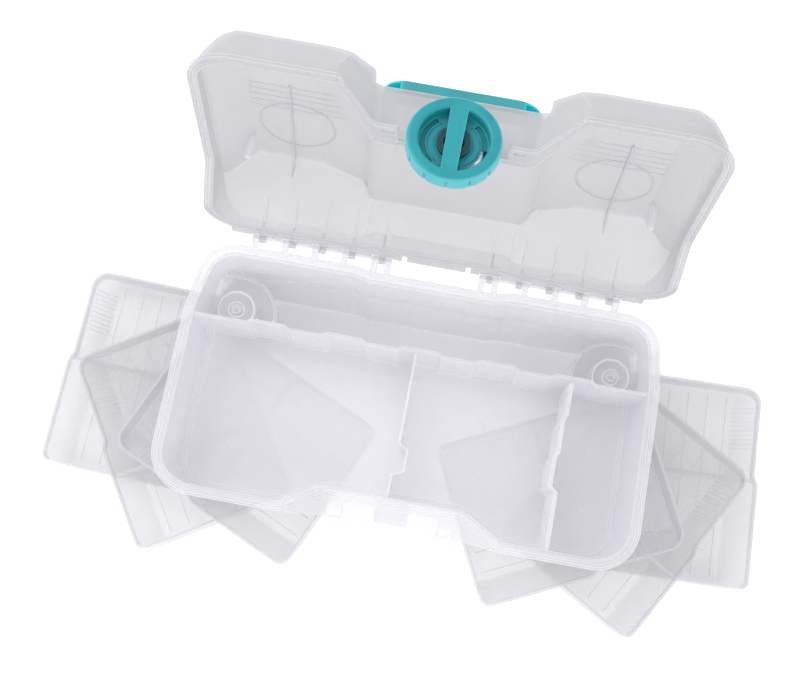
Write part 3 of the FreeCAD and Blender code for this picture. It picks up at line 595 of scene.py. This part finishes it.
HUMP_FOOT = -61 * MM
corner_z = np.array((CEILING - 1 * MM, CEILING - 7 * MM, VALLEY))
corner_x = np.array((-78 * MM, -70 * MM, HUMP_FOOT))
corner_path = np.stack([corner_x, back_wall_y(corner_z) - 0.6 * MM, corner_z], axis=1)
bead = carried(corner_path, (0.3, -0.8, -0.5), ridge_section(3.6 * MM, 2.8 * MM), swell=(0.4, 1.0, 1.7))
low_z = np.linspace(VALLEY, RIM - 12 * MM, 5)
low_path = np.stack([np.full(5, HUMP_FOOT + 3 * MM), back_wall_y(low_z), low_z], axis=1)
seam = carried(low_path, (0, -1, 0), ridge_section(1.4 * MM, 0.8 * MM))
piece("lid_valley_corner_beads", both_hands([bead, seam]), lid_at_rest, "lid", solid_white)

# %% [markdown]
# ## Gussets behind the hinge
# Each hinge knuckle is backed by a thin upright rib on the outside of the lid's back wall. It
# carries the pull of the lid into the wall. A low line on the inside marks each one.

# %% Hinge gussets
KNUCKLES = (43.9 + 24.5 * np.arange(5)) * MM
gussets = []
for x in KNUCKLES:
    z = np.array((RIM - 19.8 * MM, RIM - 12 * MM, RIM - 2 * MM, RIM + 4 * MM))
    path = np.stack([np.full(4, x), back_wall_y(z, inside=False) - 0.1 * MM, z], axis=1)
    gussets.append(carried(path, (0, 1, 0), ridge_section(1.8 * MM, 3.0 * MM), swell=(1.2, 1.0, 0.9, 0.5)))
piece("lid_hinge_gussets", both_hands(gussets), lid_at_rest, "lid", solid_white)
witness = []
for x in KNUCKLES:
    z = np.linspace(RIM - 17 * MM, RIM + 5 * MM, 4)
    path = np.stack([np.full(4, x), back_wall_y(z), z], axis=1)
    witness.append(carried(path, (0, -1, 0), ridge_section(1.6 * MM, 0.7 * MM), swell=(1, 1, 1, 0.6)))
piece("lid_hinge_witness_ribs", both_hands(witness), lid_at_rest, "lid", solid_white)

# %% [markdown]
# ## Rings and marks on the case
# The round towers over the tray pivots end in a raised ring with a smaller ring about the
# screw. Ejector pins leave faint circles on the bin floor; how many, and where, is a guess.

# %% Case marks
FLOOR_TOP = RIM - 65.8 * MM
TOWER_TOP = FLOOR_TOP + 18 * MM
UP = (0, 0, 1)
pivot = joint_at["tray_left_lower_swing"]
tower = np.array((pivot[0], pivot[1], TOWER_TOP))
tower_rings = [carried(circle(tower, 14.6 * MM), UP, ridge_section(1.6 * MM, 0.9 * MM), loop=True)]
tower_rings.append(carried(circle(tower, 6.5 * MM, 28), UP, ridge_section(1.0 * MM, 0.5 * MM), loop=True))
piece("tower_rings", both_hands(tower_rings), lambda v: v, "case", solid_white)

marks = []
MARKS = ((-140, -75), (-95, -75), (-140, -120), (-60, -110),
         (60, -70), (150, -75), (150, -120), (60, -112))
for x, y in MARKS:
    spot = np.array((x * MM, y * MM, FLOOR_TOP))
    low_ridge = ridge_section(0.6 * MM, 0.10 * MM, 0.15 * MM)
    marks.append(carried(circle(spot, 3.4 * MM, 24), UP, low_ridge, loop=True))
piece("bin_ejector_marks", marks, lambda v: v, "case", faint_mark)

# %% [markdown]
# ## Ribs of the trays
# Each tray gets seven fine long ribs on its floor and a comb of ten short ribs up its sloping
# front. A real tray may have fewer, so they are kept low. They are drawn once
# for a shut left-hand tray, at its level, and
# carried to each of the six.

# %% Tray ribs
TRAY_OUT = pivot[0] - 25 * MM
TRAY_IN = -5.5 * MM
TRAY_FRONT = FRONT + 7.5 * MM
TRAY_BACK = pivot[1] - 13.5 * MM
TRAY_PITCH, TRAY_HEIGHT, TRAY_FLOOR = 31 * MM, 29.5 * MM, 1.6 * MM
SLOPE_RUN, LIP, PULL = 20 * MM, 8 * MM, 3.5 * MM


def tray_ribs(z0):
    """Long floor ribs, and grip ribs that follow the slope from the floor up to the lip."""
    level = z0 + TRAY_FLOOR
    slim = ridge_section(1.0 * MM, 0.3 * MM, 0.2 * MM)
    foot = TRAY_FRONT + PULL + SLOPE_RUN
    shells = []
    for y in np.linspace(foot + 4 * MM, TRAY_BACK - 6 * MM, 7):
        shells.append(carried(line((TRAY_OUT + 6 * MM, y, level), (TRAY_IN - 8 * MM, y, level)), UP, slim))
    for x in np.linspace(TRAY_OUT + 16 * MM, TRAY_OUT + 52 * MM, 10):
        low = (x, foot - 1 * MM, level + 1.2 * MM)
        high = (x, TRAY_FRONT + PULL + 3.4 * MM, z0 + TRAY_HEIGHT - LIP - 1 * MM)
        shells.append(carried(line(low, high), (0, 0.7, 0.7), slim))
    return shells


for level, level_name in enumerate(("lower", "middle", "upper")):
    for hand in ("left", "right"):
        body = "tray_%s_%s" % (hand, level_name)
        ribs = tray_ribs(0.5 * MM + level * TRAY_PITCH)
        piece(body + "_ribs", ribs, lambda v: tray_at_rest(v, hand, level_name), body, tray_rib)

# %% [markdown]
# ## Details of the knob
# A thin raised line follows the arc slots of the knob's disc, and a small ring stands around
# the hub. Part of each slot is closed by a web sunk below the face, so only one short run on
# the right stays open. Both are arcs drawn level about the origin and carried to the disc.

# %% Knob lines and slot webs
KNOB = joint_at["knob_turn"]
shut_knob = turned_about(KNOB[None, :], HINGE, (1, 0, 0), joint_range["lid_hinge"][1])[0]
DISC_FACE = FRONT + 3 * MM


def on_knob(points):
    """From a level drawing about the origin to the face of the knob's disc on the open lid."""
    upright = np.stack([points[:, 0], DISC_FACE - points[:, 2], shut_knob[2] + points[:, 1]], axis=1)
    return lid_at_rest(upright)


arm_line = ridge_section(0.8 * MM, 0.7 * MM)
arms = [carried(circle((0, 0, 0), 17.4 * MM, 24, 125, 235), UP, arm_line)]
arms.append(carried(circle((0, 0, 0), 17.4 * MM, 24, -55, 55), UP, arm_line))
arms.append(carried(circle((0, 0, 0), 13.2 * MM, 36), UP, ridge_section(0.8 * MM, 0.5 * MM), loop=True))
piece("knob_arm_lines", arms, on_knob, "knob", disc_teal)

web_section = np.array([(-2.4, -0.5), (2.4, -0.5), (2.4, 0.5), (-2.4, 0.5)]) * MM
WEB_RADIUS, WEB_DEPTH = 20.4 * MM, -2.2 * MM
webs = [carried(circle((0, 0, WEB_DEPTH), WEB_RADIUS, 24, 110, 250), UP, web_section)]
webs.append(carried(circle((0, 0, WEB_DEPTH), WEB_RADIUS, 12, 0, 60), UP, web_section))
piece("knob_slot_webs", webs, on_knob, "knob", disc_teal)
